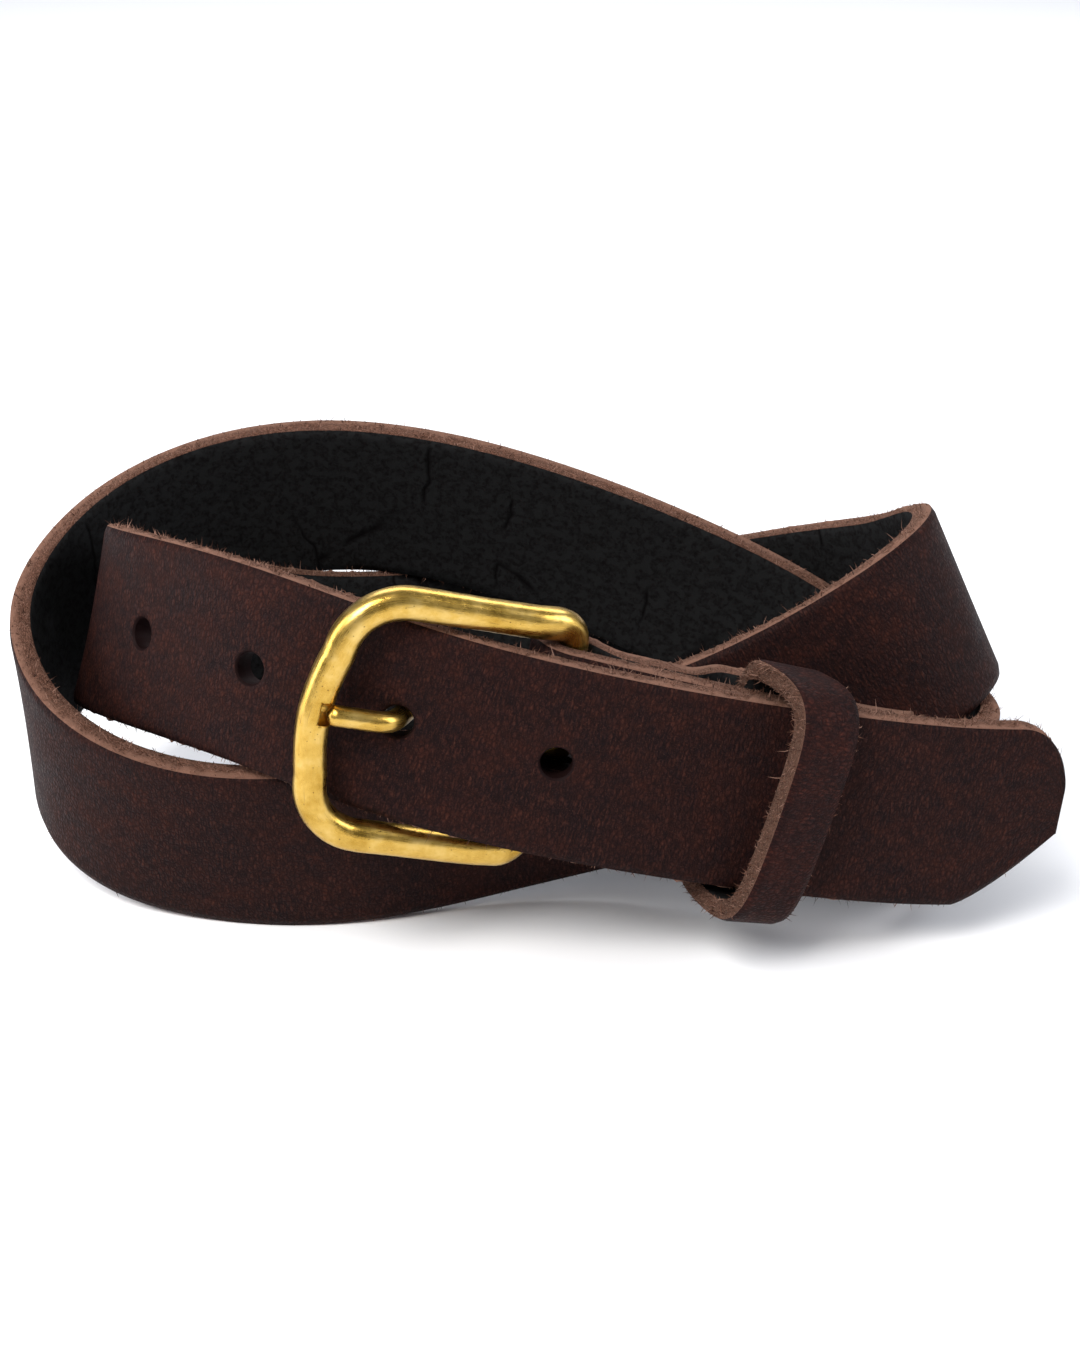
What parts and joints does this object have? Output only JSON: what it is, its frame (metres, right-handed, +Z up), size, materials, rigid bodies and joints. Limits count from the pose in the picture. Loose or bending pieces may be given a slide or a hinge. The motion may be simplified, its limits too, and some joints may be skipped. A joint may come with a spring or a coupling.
{
  "type": "leather belt",
  "caption": "Leather belt buckled and coiled in two turns on its edge, with a bar buckle, a keeper loop and a screwed-on buckle fold.",
  "frame": {"origin": "middle of the coil's footprint, on the surface its lower edge stands on", "axes": "+X along the coil towards the tip, +Y towards the coil's back, +Z up"},
  "size_m": [0.1779, 0.1024, 0.0667],
  "materials": {
    "leather_strap": "waxed",
    "leather_keeper": "waxed",
    "buckle_brass": "aged",
    "screw_brass": "satin",
    "staple_steel": "satin"
  },
  "bodies": {
    "strap_body": {"strap": "leather_strap", "screw_post_near_buckle": "screw_brass", "screw_near_buckle": "screw_brass", "screw_post_past_keeper": "screw_brass", "screw_past_keeper": "screw_brass"},
    "buckle": {"buckle_frame": "buckle_brass"},
    "prong": {"tongue": "buckle_brass"},
    "keeper_loop": {"keeper": "leather_keeper", "keeper_staple": "staple_steel"}
  },
  "joints": [
    {"name": "buckle_hinge", "type": "hinge", "parent": "strap_body", "child": "buckle", "pos_m": [0.00443, -0.03233, 0.03767], "axis": [0.2486, 0.1072, 0.9627], "range_deg": [0, 1.5]},
    {"name": "tongue_hinge", "type": "hinge", "parent": "buckle", "child": "prong", "pos_m": [0.00443, -0.03233, 0.03767], "axis": [0.2486, 0.1072, 0.9627], "range_deg": [0, 1]},
    {"name": "keeper_slide", "type": "slide", "parent": "strap_body", "child": "keeper_loop", "axis": [0.9555, 0.103, -0.2765], "range_m": [-0.002, 0.001]}
  ]
}
